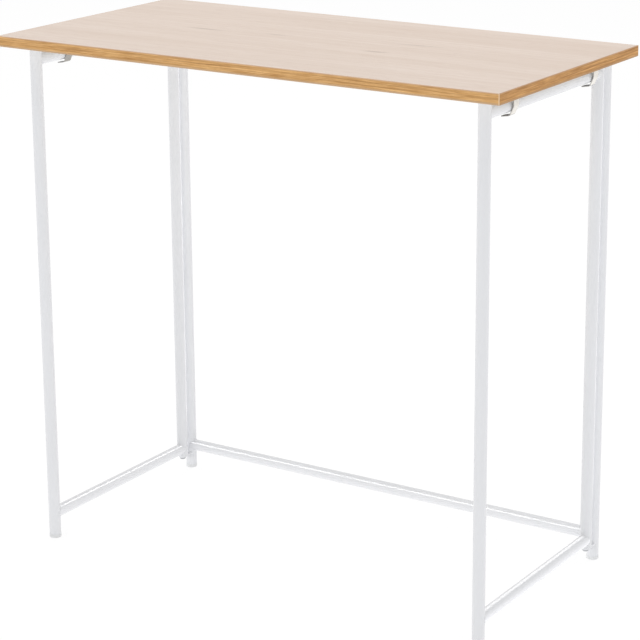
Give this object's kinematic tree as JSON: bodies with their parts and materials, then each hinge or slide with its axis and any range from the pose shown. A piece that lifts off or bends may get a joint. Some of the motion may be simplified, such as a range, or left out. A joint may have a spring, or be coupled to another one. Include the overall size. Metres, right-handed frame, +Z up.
{
  "type": "folding desk",
  "caption": "Folding desk with an oak-look board hooked onto a white tubular steel frame, whose side frames swing in flat against the back frame.",
  "frame": {"origin": "on the floor, under the middle of the board", "axes": "+X along the desk to the sitter's right, +Y from the sitter's side to the back, +Z up"},
  "size_m": [0.8, 0.4, 0.758],
  "materials": {
    "oak_laminate": "matt oak-look laminate, pale beige, fine grain along the desk",
    "oak_edging": "honey oak edging strip, fine grain along its length",
    "chipboard": "raw pressed chipboard",
    "backing_sheet": "plain pale backing sheet",
    "white_powder_coat": "white powder coat, semi-gloss with a slight orange peel",
    "white_plastic": "moulded white plastic",
    "nickel_clip": "bright nickel-plated steel strip",
    "zinc_steel": "zinc-plated steel",
    "nylon": "natural nylon"
  },
  "bodies": {
    "back_frame": {"back_top_rail": "white_powder_coat", "back_bottom_rail": "white_powder_coat", "left_back_upright": "white_powder_coat", "left_back_foot": "white_plastic", "left_back_cap": "white_plastic", "left_lower_lug": "white_powder_coat", "left_upper_lug": "white_powder_coat", "left_lower_washer": "nylon", "left_upper_washer": "nylon", "right_back_upright": "white_powder_coat", "right_back_foot": "white_plastic", "right_back_cap": "white_plastic", "right_lower_lug": "white_powder_coat", "right_upper_lug": "white_powder_coat", "right_lower_washer": "nylon", "right_upper_washer": "nylon"},
    "left_frame": {"left_front_leg": "white_powder_coat", "left_front_foot": "white_plastic", "left_front_cap": "white_plastic", "left_rear_tube": "white_powder_coat", "left_top_rail": "white_powder_coat", "left_bottom_rail": "white_powder_coat", "left_lower_bush": "zinc_steel", "left_upper_bush": "zinc_steel", "left_lower_bolt": "zinc_steel", "left_upper_bolt": "zinc_steel"},
    "right_frame": {"right_front_leg": "white_powder_coat", "right_front_foot": "white_plastic", "right_front_cap": "white_plastic", "right_rear_tube": "white_powder_coat", "right_top_rail": "white_powder_coat", "right_bottom_rail": "white_powder_coat", "right_lower_bush": "zinc_steel", "right_upper_bush": "zinc_steel", "right_lower_bolt": "zinc_steel", "right_upper_bolt": "zinc_steel"},
    "tabletop": {"board_core": "chipboard", "top_laminate": "oak_laminate", "bottom_laminate": "backing_sheet", "front_edge_band": "oak_edging", "back_edge_band": "oak_edging", "left_edge_band": "oak_edging", "right_edge_band": "oak_edging", "left_front_clip": "nickel_clip", "left_back_clip": "nickel_clip", "right_front_clip": "nickel_clip", "right_back_clip": "nickel_clip", "clip_screws": "zinc_steel"}
  },
  "joints": [
    {"name": "left_fold", "type": "hinge", "parent": "back_frame", "child": "left_frame", "pos_m": [-0.361, 0.1558, 0], "axis": [0, 0, 1], "range_deg": [0, 90], "deforming": ["left_front_clip", "left_back_clip"]},
    {"name": "right_fold", "type": "hinge", "parent": "back_frame", "child": "right_frame", "pos_m": [0.361, 0.1558, 0], "axis": [0, 0, -1], "range_deg": [0, 90]},
    {"name": "board_slide", "type": "slide", "parent": "back_frame", "child": "tabletop", "axis": [1, 0, 0], "range_m": [0, 0.018]}
  ]
}
